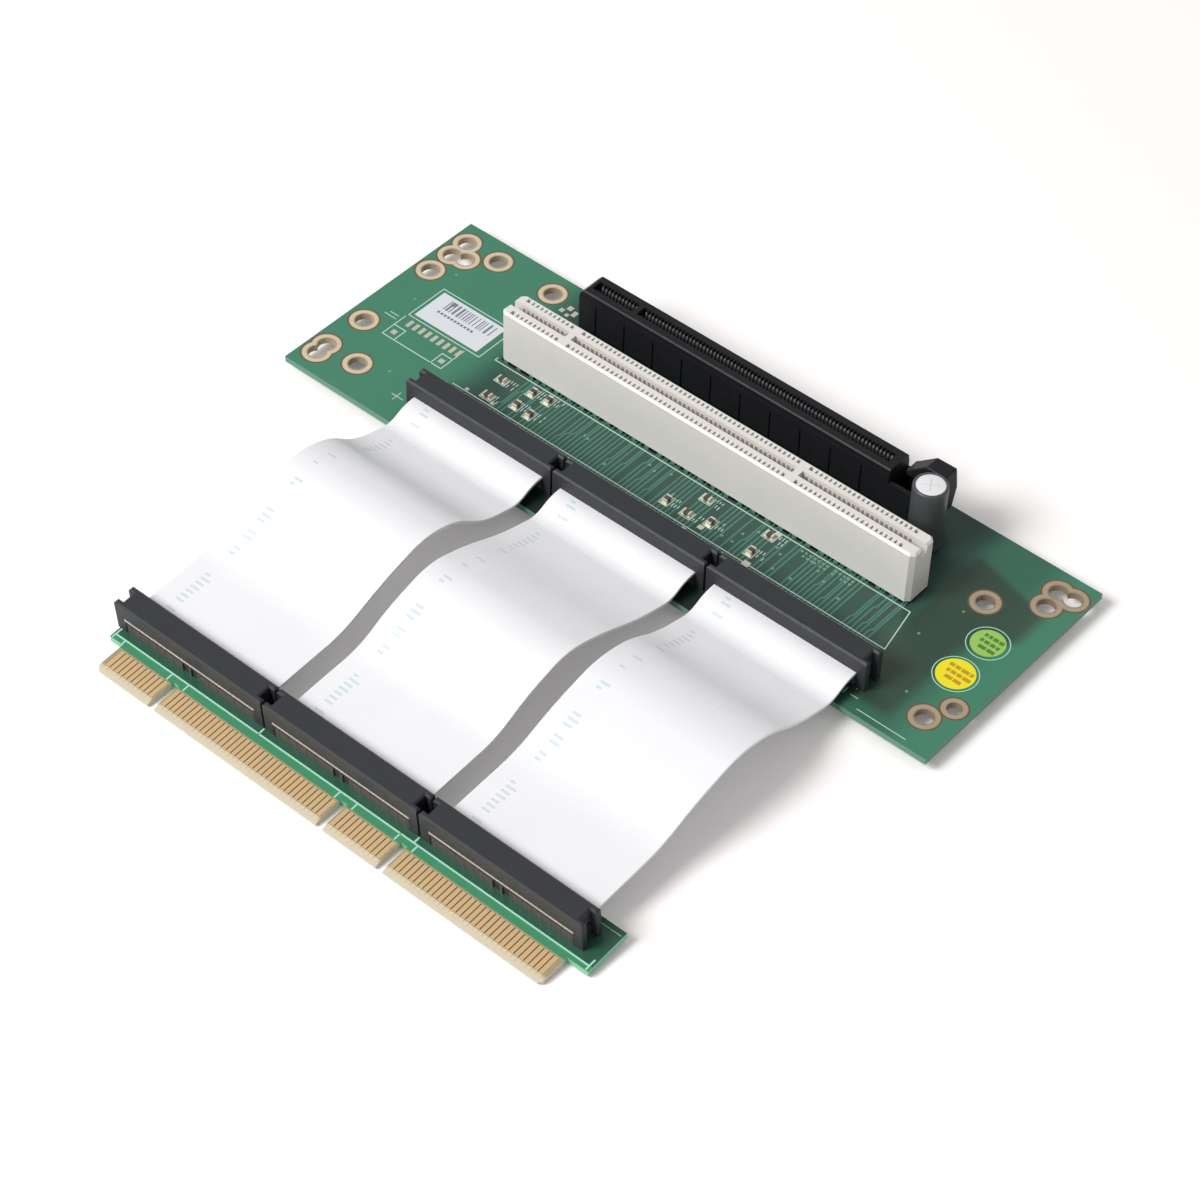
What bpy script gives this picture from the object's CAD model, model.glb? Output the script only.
import math

import bpy
import numpy as np
from mathutils import Matrix, Vector


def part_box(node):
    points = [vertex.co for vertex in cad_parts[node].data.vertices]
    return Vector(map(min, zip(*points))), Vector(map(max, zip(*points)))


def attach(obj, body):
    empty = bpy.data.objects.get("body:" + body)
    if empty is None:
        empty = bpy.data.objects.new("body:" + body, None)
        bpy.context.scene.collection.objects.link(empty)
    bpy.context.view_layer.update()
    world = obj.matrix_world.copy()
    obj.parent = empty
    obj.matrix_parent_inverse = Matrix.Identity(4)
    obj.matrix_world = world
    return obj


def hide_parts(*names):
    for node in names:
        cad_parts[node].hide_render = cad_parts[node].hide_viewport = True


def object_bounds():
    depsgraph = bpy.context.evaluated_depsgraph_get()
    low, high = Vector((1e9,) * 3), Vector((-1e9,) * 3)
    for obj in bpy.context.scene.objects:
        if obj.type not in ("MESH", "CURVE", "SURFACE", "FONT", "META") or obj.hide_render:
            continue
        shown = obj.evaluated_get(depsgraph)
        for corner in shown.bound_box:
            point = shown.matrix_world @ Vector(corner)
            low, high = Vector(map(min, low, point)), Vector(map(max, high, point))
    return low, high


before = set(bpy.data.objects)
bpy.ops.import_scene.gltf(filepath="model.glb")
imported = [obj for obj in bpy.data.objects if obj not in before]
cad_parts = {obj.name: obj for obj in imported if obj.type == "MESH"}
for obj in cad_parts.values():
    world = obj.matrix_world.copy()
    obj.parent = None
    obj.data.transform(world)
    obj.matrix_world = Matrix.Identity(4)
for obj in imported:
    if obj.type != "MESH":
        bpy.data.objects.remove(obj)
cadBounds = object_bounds()
mm = 0.001
print("frame loaded")


# Places that the pieces share, all read from the frame, in metres

boardLow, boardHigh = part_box("main_board")
boardCorner = Vector((boardLow.x, boardLow.y, boardHigh.z))   # front left corner of the top face
cardLow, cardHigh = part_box("edge_card")
fingersLow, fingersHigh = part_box("card_fingers_top")

cardShape = {
    "tilt": math.radians(4.5),
    "thick": 1.6 * mm,
    "back": 10.5 * mm,        # back edge from the tongue's root line
    "fingerWidth": 1.0 * mm,
}


ribbonRow = {
    "left": 34.35, "pitch": 43.4, "width": 38.1, "count": 3,   # millimetres along the main board
}
boardUnder = -1.6      # height of both boards' undersides from their tops, in millimetres


def cardOrigin():
    # first finger's middle on the root line, on the card's top face
    tilt = cardShape["tilt"]
    y = cardHigh.y - cardShape["back"] * math.cos(tilt) - cardShape["thick"] * math.sin(tilt)
    z = cardHigh.z - cardShape["back"] * math.sin(tilt)
    return Vector((fingersLow.x + cardShape["fingerWidth"] / 2, y, z))


def onBoard(points):
    # millimetres from the board's corner to metres in the frame
    return np.asarray(points, float) * mm + np.array(boardCorner)


def onCard(points):
    # millimetres on the card, turned by its tilt about X, to metres in the frame
    p = np.asarray(points, float) * mm
    c, s = math.cos(cardShape["tilt"]), math.sin(cardShape["tilt"])
    turned = np.stack([p[:, 0], p[:, 1] * c - p[:, 2] * s, p[:, 1] * s + p[:, 2] * c], axis=1)
    return turned + np.array(cardOrigin())


# Meshes from numpy arrays

def addPiece(name, place, shapes, material, body="riser", smooth=False):
    # (points, faces) shapes as one piece, moved by onBoard or onCard. points is (n, 3), and faces
    # is an (m, corners) array or a list of them, one per corner count
    points, faces = joined(shapes)
    points = np.asarray(place(points), np.float32)
    groups = [np.asarray(group, np.int32) for group in faces]
    if enclosedVolume(points, groups) < 0:
        groups = [group[:, ::-1] for group in groups]
    sizes = np.concatenate([np.full(len(g), g.shape[1], np.int32) for g in groups])
    corners = np.concatenate([g.ravel() for g in groups])
    mesh = bpy.data.meshes.new(name)
    mesh.vertices.add(len(points))
    mesh.vertices.foreach_set("co", points.ravel())
    mesh.loops.add(len(corners))
    mesh.loops.foreach_set("vertex_index", corners)
    mesh.polygons.add(len(sizes))
    mesh.polygons.foreach_set("loop_start", np.cumsum(sizes, dtype=np.int32) - sizes)
    mesh.polygons.foreach_set("use_smooth", np.full(len(sizes), smooth))
    mesh.update(calc_edges=True)
    mesh.validate()
    if smooth:
        mesh.set_sharp_from_angle(angle=math.radians(38))
    mesh.materials.append(material)
    piece = bpy.data.objects.new(name, mesh)
    bpy.context.scene.collection.objects.link(piece)
    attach(piece, body)
    return piece


def enclosedVolume(points, groups):
    # six times the volume, from fans of triangles: positive where the faces look outwards
    total = 0.0
    for group in groups:
        fan = points[group].astype(float)
        for k in range(1, group.shape[1] - 1):
            total += np.einsum("ij,ij->", fan[:, 0], np.cross(fan[:, k], fan[:, k + 1]))
    return total


def bands(rings, loop=False):
    # closed rings (rings, corners, 3) joined by quads, with a flat cap at each end
    count, corners = rings.shape[:2]
    ring = np.arange(count if loop else count - 1)[:, None] * corners
    i = np.arange(corners)[None, :]
    j = (i + 1) % corners
    following = (ring + corners) % (count * corners)
    sides = np.stack([ring + i, ring + j, following + j, following + i], axis=2).reshape(-1, 4)
    faces = [sides]
    if not loop:
        last = (count - 1) * corners
        faces.append(np.concatenate([i[:, ::-1], i + last]))
    return rings.reshape(-1, 3), faces


def turned(profile, x, y, segments=48, loop=False):
    # (radius, height) profile turned about a vertical axis, on the main board in millimetres
    profile = np.asarray(profile, float)
    angle = np.arange(segments) * 2 * math.pi / segments
    rings = np.stack([x + profile[:, :1] * np.cos(angle), y + profile[:, :1] * np.sin(angle),
                      np.repeat(profile[:, 1:], segments, axis=1)], axis=2)
    return bands(rings, loop)


def extruded(outline, low, high):
    # an outline of (y, z) corners carried along X
    outline = np.asarray(outline, float)
    rings = np.stack([np.column_stack([np.full(len(outline), x), outline]) for x in (low, high)])
    return bands(rings)


def repeated(shape, x, y=0.0):
    # one small shape copied to each x and y
    points, faces = shape
    places = np.column_stack(np.broadcast_arrays(x, y, 0.0))
    step = (len(points) * np.arange(len(places)))[:, None, None]
    copies = [(group[None] + step).reshape(-1, group.shape[1]) for group in faces]
    return (points[None] + places[:, None]).reshape(-1, 3), copies


def joined(shapes):
    # several (points, faces) shapes as one, faces with as many corners kept together
    allPoints, byCorners, shift = [], {}, 0
    for points, faces in shapes:
        for group in faces if isinstance(faces, list) else [faces]:
            byCorners.setdefault(group.shape[1], []).append(group + shift)
        allPoints.append(points)
        shift += len(points)
    return np.concatenate(allPoints), [np.concatenate(g) for g in byCorners.values()]


def boxFaces(count):
    # six outward faces a box, whose corners run round its low face and then its high one
    sides = np.array([[0, 3, 2, 1], [4, 5, 6, 7], [0, 1, 5, 4], [1, 2, 6, 5], [2, 3, 7, 6],
                      [3, 0, 4, 7]])
    return (sides[None] + 8 * np.arange(count)[:, None, None]).reshape(-1, 4)


def boxCorners(low, high):
    # eight corners and six outward faces for each row of low and high corners
    low, high = np.atleast_2d(low).astype(float), np.atleast_2d(high).astype(float)
    picks = np.array([[0, 0, 0], [1, 0, 0], [1, 1, 0], [0, 1, 0],
                      [0, 0, 1], [1, 0, 1], [1, 1, 1], [0, 1, 1]])
    points = np.where(picks[None] == 0, low[:, None], high[:, None]).reshape(-1, 3)
    return points, boxFaces(len(low))


def boxes(x, y, z):
    # x, y and z are (low, high), each a number or one value for every box
    ends = np.broadcast_arrays(*x, *y, *z)
    return boxCorners(np.column_stack(ends[::2]), np.column_stack(ends[1::2]))


def lineBoxes(lines, width, low, high):
    # a thin box for each line (x0, y0, x1, y1): its ends moved out by half the width
    lines = np.atleast_2d(lines).astype(float)
    start, end = lines[:, :2], lines[:, 2:]
    along = end - start
    along /= np.linalg.norm(along, axis=1, keepdims=True)
    side = np.stack([-along[:, 1], along[:, 0]], axis=1) * width / 2
    reach = along * width / 2
    ring = [start - reach - side, end + reach - side, end + reach + side, start - reach + side]
    flat = np.stack(ring, axis=1)
    # lines that cross differ a little in height, so that their faces share no plane
    lift = np.repeat(0.002 * (np.arange(len(lines)) % 5), 4).reshape(-1, 4, 1)
    lower = np.concatenate([flat, low - lift], axis=2)
    upper = np.concatenate([flat, high + lift], axis=2)
    points = np.concatenate([lower, upper], axis=1).reshape(-1, 3)
    return points, boxFaces(len(lines))


def bothFaces(lines, width, thick):
    # the same thin boxes on a board's top and on its underside
    return [lineBoxes(lines, width, 0.0, thick),
            lineBoxes(lines, width, boardUnder - thick, boardUnder)]


def flatRing(inner, outer, low, high, x=0.0, y=0.0, segments=8):
    # a ring of rectangular section between two radii and two heights
    profile = [(inner, low), (outer, low), (outer, high), (inner, high)]
    return turned(profile, x, y, segments, loop=True)


def directions(line):
    # unit vectors along a line of points
    along = np.gradient(line, axis=0)
    return along / np.linalg.norm(along, axis=1, keepdims=True)


# Shader maths: a Link is a socket that plain Python operators work on

class Link:
    def __init__(self, finish, socket):
        self.finish = finish
        self.socket = socket

    def maths(self, operation, first, second):
        # one Math node between two links or numbers
        return self.finish.node("ShaderNodeMath", {"operation": operation}, [first, second])

    def __rsub__(self, other):
        return self.maths("SUBTRACT", other, self)

    def __abs__(self):
        return self.maths("ABSOLUTE", self, 0.0)


def operator(operation):
    # a Link's method for one operation between it and a link or number
    return lambda self, other: self.maths(operation, self, other)


for names, operation in (("add radd", "ADD"), ("sub", "SUBTRACT"), ("mul rmul", "MULTIPLY"),
                         ("truediv", "DIVIDE"), ("mod", "FLOORED_MODULO"), ("or", "MAXIMUM"),
                         ("and", "MINIMUM"), ("gt", "GREATER_THAN"), ("lt", "LESS_THAN")):
    for name in names.split():
        setattr(Link, f"__{name}__", operator(operation))


class Finish:
    # one material: its Principled shader, and the nodes that feed it

    def __init__(self, name, colour, roughness, metallic=0.0, **fixed):
        self.data = bpy.data.materials.new(name)
        self.data.use_nodes = True
        self.tree = self.data.node_tree
        self.shader = self.tree.nodes["Principled BSDF"]
        self.shader.inputs["Base Color"].default_value = (*colour, 1.0)
        self.shader.inputs["Roughness"].default_value = roughness
        self.shader.inputs["Metallic"].default_value = metallic
        for socket, value in fixed.items():
            self.shader.inputs[socket.replace("_", " ")].default_value = value

    def plug(self, socket, value):
        # a link is joined to the socket, anything else is set as its value
        if isinstance(value, Link):
            self.tree.links.new(value.socket, socket)
        elif isinstance(value, (tuple, list)) and len(value) == 3 and socket.type == "RGBA":
            socket.default_value = (*value, 1.0)
        else:
            socket.default_value = value

    def node(self, kind, settings, sockets, output=0):
        # settings first, then sockets: a list in order, or a dictionary by name or number
        made = self.tree.nodes.new(kind)
        for name, value in settings.items():
            setattr(made, name, value)
        pairs = sockets.items() if isinstance(sockets, dict) else enumerate(sockets)
        for key, value in pairs:
            self.plug(made.inputs[key], value)
        return Link(self, made.outputs[output])

    def feed(self, socket, value):
        # the same for a socket of the Principled shader
        self.plug(self.shader.inputs[socket], value)

    def place(self, origin=(0, 0, 0)):
        # Object coordinates in millimetres from an origin given in metres
        raw = self.node("ShaderNodeTexCoord", {}, {}, "Object")
        moved = self.node("ShaderNodeVectorMath", {"operation": "SUBTRACT"}, [raw, tuple(origin)])
        return self.node("ShaderNodeVectorMath", {"operation": "SCALE"},
                         {0: moved, "Scale": 1 / mm})

    def axes(self, vector):
        # the vector's three parts
        return [self.node("ShaderNodeSeparateXYZ", {}, [vector], i) for i in range(3)]

    def noise(self, vector, scale, detail=3.0):
        # scale is in patches a millimetre
        return self.node("ShaderNodeTexNoise", {}, {"Vector": vector, "Scale": scale,
                                                    "Detail": detail, "Roughness": 0.55})

    def mix(self, factor, first, second):
        # Mix node in colour mode: inputs 6 and 7 are its colours, output 2 its result
        return self.node("ShaderNodeMix", {"data_type": "RGBA"},
                         {0: factor, 6: first, 7: second}, 2)

    def fade(self, value, low, high):
        # 0 below low, 1 above high, with a smooth step between
        return self.node("ShaderNodeMapRange", {"interpolation_type": "SMOOTHSTEP"},
                         {0: value, 1: low, 2: high, 3: 0.0, 4: 1.0})

    def done(self, colour, roughness, height, strength, distance=0.0002):
        # the shader fed with colour, roughness and a bump of these heights
        self.feed("Base Color", colour)
        self.feed("Roughness", roughness)
        self.feed("Normal", self.node("ShaderNodeBump", {}, {
            "Strength": strength, "Distance": distance, "Height": height}))
        return self.data


def between(value, low, high):
    # 1 where the value lies between the two, else 0
    return (value > low) * (value < high)


def wear(node, material):
    # give a CAD node its finish
    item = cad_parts[node]
    if not item.material_slots:
        item.data.materials.append(material)
    for holder in item.material_slots:
        holder.material = material


# Printed boards

boardPaint = {
    "mask": (0.045, 0.205, 0.120),
    "maskDark": (0.012, 0.050, 0.038),
    "maskShade": (0.024, 0.038, 0.027),
    "underSlot": (0.006, 0.008, 0.008),
    "ring": (0.66, 0.52, 0.34),
    "ringLight": (0.84, 0.73, 0.54),
    "ringWorn": (0.25, 0.19, 0.125),
    "ringRim": (0.13, 0.070, 0.028),
    "edge": (0.08, 0.22, 0.15),
    "edgeLayer": (0.18, 0.31, 0.22),
    "bare": (0.28, 0.23, 0.12),
    "bareLight": (0.37, 0.32, 0.19),
    "bevel": (0.56, 0.51, 0.40),
    "ringRadius": 3.5,
    "smallRingRadius": 2.95,
    "rimWidth": 0.35,
    "darkLeft": (30.0, 42.0), "darkRight": (168.0, 178.0), "dimmer": (153.0, 159.0),
    "innerLeft": (154.5, 157.5), "innerFront": (2.5, 6.0), "innerRight": (167.5, 171.5),
    "innerBend": (29.0, 40.0), "innerBack": (54.0, 56.5),
    "frontLeft": (33.0, 37.0), "frontRight": (157.0, 161.0), "frontBack": (5.0, 7.5),
    "whiteSlot": ((37.0, 153.4), (32.05, 40.2)), "blackSlot": ((42.9, 140.5), (52.6, 60.1)),
    "wornFrom": (110.0, 165.0),
    "holes": [(4.2, 9.2), (175.2, 9.2), (4.2, 57.0), (175.2, 57.0), (4.2, 44.2), (165.2, 44.2),
              (14.1, 57.0), (31.1, 57.0), (4.8, 21.0), (13.9, 9.2), (4.3, 51.6), (175.6, 52.0),
              (4.3, 5.9), (7.8, 52.4), (178.9, 57.2)],
    "smallHole": (178.5, 15.2),
}


def ringDistance(finish, place):
    # distance past the outer edge of the nearest pad round a hole, negative on the pad
    flat = finish.node("ShaderNodeVectorMath", {"operation": "MULTIPLY"},
                       [place, (1.0, 1.0, 0.0)])
    pads = [(x, y, boardPaint["ringRadius"]) for x, y in boardPaint["holes"]]
    pads.append((*boardPaint["smallHole"], boardPaint["smallRingRadius"]))
    nearest = None
    for x, y, radius in pads:
        away = finish.node("ShaderNodeVectorMath", {"operation": "DISTANCE"},
                           [flat, (x, y, 0.0)], "Value") - radius
        nearest = away if nearest is None else nearest & away
    return nearest


def boardFinish():
    # mask shaded by place, then the slots' footprints, pads with rims, and layers on the edges
    paint = boardPaint
    finish = Finish("solderMaskGreen", paint["mask"], 0.34, Coat_Weight=0.2, Coat_Roughness=0.2)
    place = finish.place(boardCorner)
    x, y, z = finish.axes(place)
    normalZ = finish.axes(finish.node("ShaderNodeNewGeometry", {}, {}, "Normal"))[2]
    away = ringDistance(finish, place)
    pad, rim = away < 0.0, away < paint["rimWidth"]
    cloud = finish.noise(place, 0.08, 2.0)
    dark = finish.fade(x, *paint["darkLeft"]) * (1 - finish.fade(x, *paint["darkRight"]))
    dark = dark * (0.9 - finish.fade(x, *paint["dimmer"]) * 0.4)
    colour = finish.mix(dark + cloud * 0.1, paint["mask"], paint["maskDark"])
    inner = finish.fade(x, *paint["innerLeft"]) * finish.fade(y, *paint["innerFront"])
    bend = finish.fade(y, *paint["innerBend"]) * 8.0
    inner = inner * (1 - finish.fade(x - bend, *paint["innerRight"]))
    back = y + (x - paint["dimmer"][0]) * 0.25
    inner = inner * (1 - finish.fade(back, *paint["innerBack"])) * (z > -0.5)
    colour = finish.mix(inner * 0.78, colour, paint["maskShade"])
    front = finish.fade(x, *paint["frontLeft"]) * (1 - finish.fade(x, *paint["frontRight"]))
    front = front * (z > -0.5)
    front = front * (1 - finish.fade(y, *paint["frontBack"]))
    colour = finish.mix(front * 0.8, colour, paint["underSlot"])
    white, black = [between(x, *sides[0]) * between(y, *sides[1])
                    for sides in (paint["whiteSlot"], paint["blackSlot"])]
    colour = finish.mix((white | black) * (z > -0.5), colour, paint["underSlot"])
    colour = finish.mix(rim, colour, paint["ringRim"])
    grain = finish.noise(place, 1.6, 4.0)
    ring = finish.mix(grain, paint["ring"], paint["ringLight"])
    worn = abs(away + 0.62) > 0.45
    ring = finish.mix(worn * 0.55, ring, paint["ringWorn"])
    ring = finish.mix(finish.fade(x, *paint["wornFrom"]) * 0.6, ring, paint["ringWorn"])
    colour = finish.mix(pad, colour, ring)
    side = abs(normalZ) < 0.5
    layers = abs((z + 0.8) % 0.4 - 0.2) < 0.05
    edge = finish.mix(layers, paint["edge"], paint["edgeLayer"])
    colour = finish.mix(side * (1 - pad), colour, edge)
    finish.feed("Metallic", pad * 0.35)
    return finish.done(colour, finish.noise(place, 0.9) * 0.12 + 0.30 + side * 0.3,
                       finish.noise(place, 3.0, 2.0) + rim * 0.5, 0.12)


cardPaint = {
    "mask": (0.045, 0.26, 0.125),
    "maskDark": (0.03, 0.18, 0.09),
    "behind": (0.016, 0.085, 0.050),      # back from the printed line
    "edge": (0.20, 0.50, 0.31),
    "bareEdge": (0.60, 0.55, 0.42),
    "bareFrom": -2.0,                     # the tongue has no mask in front of this line
    "bevelFrom": (6.8, 8.4),
}


def cardFinish():
    # mask behind the tongue, bare laminate on it, and paler where the bevel starts
    paint = cardPaint
    finish = Finish("cardGreen", boardPaint["mask"], 0.34, Coat_Weight=0.25, Coat_Roughness=0.18)
    place = finish.place(cardOrigin())
    y = finish.axes(place)[1]
    normalZ = finish.axes(finish.node("ShaderNodeNewGeometry", {}, {}, "Normal"))[2]
    colour = finish.mix(finish.noise(place, 0.12, 2.0) * 0.4, paint["mask"], paint["maskDark"])
    colour = finish.mix(y > 0.1, colour, paint["behind"])
    weave = finish.noise(place, 2.2, 4.0)
    bare = finish.mix(weave, boardPaint["bare"], boardPaint["bareLight"])
    bare = finish.mix(finish.fade(y * -1.0, *paint["bevelFrom"]) * 0.8, bare,
                      boardPaint["bevel"])
    colour = finish.mix(y < paint["bareFrom"], colour, bare)
    side = abs(normalZ) < 0.5
    edge = finish.mix(y < paint["bareFrom"], paint["edge"], paint["bareEdge"])
    colour = finish.mix(side, colour, edge)
    rough = (y < paint["bareFrom"]) * 0.25
    return finish.done(colour, finish.noise(place, 0.9) * 0.15 + 0.32 + rough, weave, 0.10)


# Mouldings and metals

def mouldedFinish(name, colour, darker, roughness, grain=2.5, **fixed):
    # plastic: slow patches of a second shade over a fine moulded grain
    finish = Finish(name, colour, roughness, **fixed)
    place = finish.place()
    return finish.done(finish.mix(finish.noise(place, 0.15), colour, darker),
                       finish.noise(place, 0.7) * 0.14 + roughness - 0.07,
                       finish.noise(place, grain), 0.10)


def metalFinish(name, colour, darker, roughness, scratch=(0.4, 6.0, 0.4), metallic=0.6):
    # metal: noise stretched into lines, which shade, roughen and lift it
    finish = Finish(name, colour, roughness, metallic)
    drawn = finish.node("ShaderNodeVectorMath", {"operation": "MULTIPLY"},
                        [finish.place(), scratch])
    lines = finish.noise(drawn, 1.2, 4.0)
    return finish.done(finish.mix(lines, colour, darker), lines * 0.18 + roughness - 0.09,
                       lines, 0.08, 0.0001)


def paperFinish(name, colour):
    # paper or ink: fibres that darken it by up to a twentieth
    finish = Finish(name, colour, 0.55)
    fibre = finish.noise(finish.place(), 3.0, 4.0)
    shade = finish.mix(fibre * 0.25, colour, tuple(part * 0.8 for part in colour))
    return finish.done(shade, 0.55, fibre, 0.08, 0.0001)


ribbonPaint = {
    "jacket": (0.81, 0.81, 0.825),
    "jacketDark": (0.76, 0.76, 0.785),
    "ink": (0.50, 0.62, 0.68),
    "barPitch": 1.45, "barFill": (0.25, 0.66), "barFrom": 4.2,
    "wordPitch": 19.0, "wordLong": 13.5,
}


def ribbonFinish():
    # rows of short pale bars run along the left side of each ribbon
    paint = ribbonPaint
    finish = Finish("ribbonJacket", (0.80, 0.80, 0.815), 0.36)
    place = finish.place(boardCorner)
    x, y = finish.axes(place)[:2]
    band = (x - ribbonRow["left"]) % ribbonRow["pitch"]
    cell = finish.node("ShaderNodeMath", {"operation": "FLOOR"}, [y / paint["barPitch"]])
    inside = (y / paint["barPitch"]) - cell
    pick, tall = [finish.node("ShaderNodeTexWhiteNoise", {"noise_dimensions": "1D"}, {"W": seed})
                  for seed in (cell, cell + 0.5)]
    word = (y % paint["wordPitch"]) < paint["wordLong"]
    bars = (band > paint["barFrom"]) * (band < tall * 1.6 + 5.4)
    bars = bars * between(inside, *paint["barFill"]) * (pick > 0.2) * word
    cloud = finish.noise(place, 0.10, 2.0)
    colour = finish.mix(cloud, paint["jacket"], paint["jacketDark"])
    colour = finish.mix(bars * 0.75, colour, paint["ink"])
    return finish.done(colour, finish.noise(place, 0.8) * 0.16 + 0.30,
                       finish.noise(place, 2.0), 0.06)


boardGreen = boardFinish()
cardGreen = cardFinish()
whitePlastic = mouldedFinish("ivoryMoulding", (0.72, 0.695, 0.66), (0.68, 0.655, 0.62), 0.45)
blackPlastic = mouldedFinish("blackMoulding", (0.009, 0.009, 0.011), (0.015, 0.015, 0.018), 0.46,
                             Specular_IOR_Level=0.22)
connectorPlastic = mouldedFinish("connectorMoulding", (0.024, 0.026, 0.031),
                                 (0.033, 0.034, 0.040), 0.52, Specular_IOR_Level=0.35)
combPlastic = mouldedFinish("combMoulding", (0.105, 0.088, 0.080), (0.075, 0.064, 0.060), 0.55)
goldPlate = metalFinish("goldPlate", (0.80, 0.54, 0.27), (0.64, 0.42, 0.19), 0.45)
fingerGold = metalFinish("fingerGold", (0.88, 0.64, 0.35), (0.74, 0.52, 0.26), 0.45)
laminateShade = mouldedFinish("laminateShade", (0.125, 0.058, 0.017), (0.09, 0.042, 0.012), 0.6)
palePlate = metalFinish("palePlate", (0.52, 0.44, 0.30), (0.45, 0.37, 0.24), 0.55, metallic=0.2)
contactBronze = metalFinish("contactBronze", (0.66, 0.57, 0.48), (0.54, 0.46, 0.38), 0.5)
darkGold = metalFinish("shadedContact", (0.10, 0.095, 0.10), (0.06, 0.058, 0.062), 0.45)
pinMetal = metalFinish("tinnedPin", (0.20, 0.165, 0.135), (0.12, 0.10, 0.085), 0.50)
tinPlate = metalFinish("tinPlate", (0.78, 0.74, 0.62), (0.62, 0.58, 0.47), 0.48)
viaMask = mouldedFinish("viaMask", (0.22, 0.42, 0.30), (0.15, 0.32, 0.22), 0.35)
wireEnds = mouldedFinish("wireEnds", (0.56, 0.45, 0.44), (0.42, 0.33, 0.32), 0.55, 4.0)
solderMetal = metalFinish("solder", (0.70, 0.70, 0.71), (0.52, 0.52, 0.54), 0.32, (1, 1, 1))
scoreMetal = metalFinish("scoreLine", (0.72, 0.72, 0.73), (0.64, 0.64, 0.65), 0.5)
silkInk = paperFinish("silkInk", (0.50, 0.64, 0.55))
mintInk = paperFinish("mintInk", (0.36, 0.70, 0.53))
traceGreen = mouldedFinish("traceMask", (0.065, 0.205, 0.150), (0.045, 0.155, 0.115), 0.34)
labelInk = paperFinish("labelInk", (0.19, 0.18, 0.23))
yellowInk = paperFinish("yellowInk", (0.50, 0.30, 0.01))
greenInk = paperFinish("greenInk", (0.07, 0.22, 0.03))
canMetal = metalFinish("canAluminium", (0.90, 0.90, 0.91), (0.80, 0.80, 0.82), 0.50,
                       metallic=0.25)
sleeveFilm = mouldedFinish("shrinkSleeve", (0.052, 0.057, 0.061), (0.070, 0.074, 0.078), 0.32)
chipCeramic = mouldedFinish("chipCeramic", (0.085, 0.066, 0.052), (0.055, 0.045, 0.038), 0.42)
whitePaper = paperFinish("whitePaper", (0.66, 0.69, 0.72))
yellowPaper = paperFinish("yellowPaper", (0.84, 0.71, 0.012))
greenPaper = paperFinish("greenPaper", (0.31, 0.53, 0.10))
ribbonWhite = ribbonFinish()

nodeFinishes = {
    "main_board": boardGreen, "edge_card": cardGreen,
    "card_fingers_top": fingerGold, "card_fingers_bottom": fingerGold,
    "pci_slot_housing": whitePlastic, "pci_slot_contacts": goldPlate,
    "pcie_slot_housing": blackPlastic, "pcie_slot_contacts": goldPlate,
    "slot_latch": blackPlastic, "capacitor_can": canMetal, "capacitor_sleeve": sleeveFilm,
    "chip_capacitors": chipCeramic, "barcode_label": whitePaper,
    "sticker_yellow": yellowPaper, "sticker_green": greenPaper,
}
for number in (1, 2, 3):
    nodeFinishes[f"ribbon_cable_{number}"] = ribbonWhite
    for host in ("board", "card"):
        for part, material in (("base", connectorPlastic), ("cover", connectorPlastic),
                               ("pins", pinMetal)):
            nodeFinishes[f"{host}_connector_{part}_{number}"] = material
for node, material in nodeFinishes.items():
    wear(node, material)
print("finishes made")


# Slot layout in millimetres from the board's corner

pciSlot = {
    "left": 37.0, "front": 32.2, "length": 116.4, "width": 8.0, "top": 14.7,
    "pitch": 1.27, "firstPin": 2.8, "counts": (11, 49, 23), "keyGap": 3,
    "row": 2.7, "springWide": 0.6, "springThick": 0.22, "ribWide": 0.74, "ribReach": 0.6,
    "ribDrop": 0.10, "ribDeep": 3.0, "grooveHalf": 0.95,
    "bladeReach": 0.1, "bladeWide": 0.6, "bladeTop": 0.9, "bladeFoot": 8.9,
    "bend": [(0, 0), (0, 6), (0.05, 9.5), (0.25, 12.0), (0.36, 12.7), (0.25, 13.3), (0.05, 13.8)],
}
pcieSlot = {
    "left": 42.9, "front": 52.6, "length": 89.0, "width": 7.5, "top": 11.25,
    "pitch": 1.0, "firstPin": 3.0, "counts": (11, 71), "keyGap": 3,
    "row": 1.65, "springWide": 0.6, "springThick": 0.2, "ribWide": 0.36, "mouthHalf": 1.5,
    "ribReach": 0.55, "ribDrop": 0.12, "ribDeep": 2.4,
    "bend": [(0, 1.6), (0, 4.5), (0.15, 6.5), (0.70, 8.6), (0.80, 9.2), (0.60, 9.8),
             (0.25, 10.3)],
}


def middleOf(slot):
    # Y halfway across a slot
    return slot["front"] + slot["width"] / 2


def contactPlaces(slot):
    # X of every contact, and of every rib between two neighbours
    starts, contacts, ribs = slot["left"] + slot["firstPin"], [], []
    for count in slot["counts"]:
        row = starts + slot["pitch"] * np.arange(count)
        contacts.append(row)
        ribs.append(row[:-1] + slot["pitch"] / 2)
        starts = row[-1] + slot["keyGap"] * slot["pitch"]
    return np.concatenate(contacts), np.concatenate(ribs)


def strip(centre, thick):
    # outline of a bent strip of even thickness about a line of (y, z) points
    centre = np.asarray(centre, float)
    along = directions(centre)
    side = np.column_stack([along[:, 1], -along[:, 0]]) * thick / 2
    return np.concatenate([centre + side, (centre - side)[::-1]])


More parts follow.
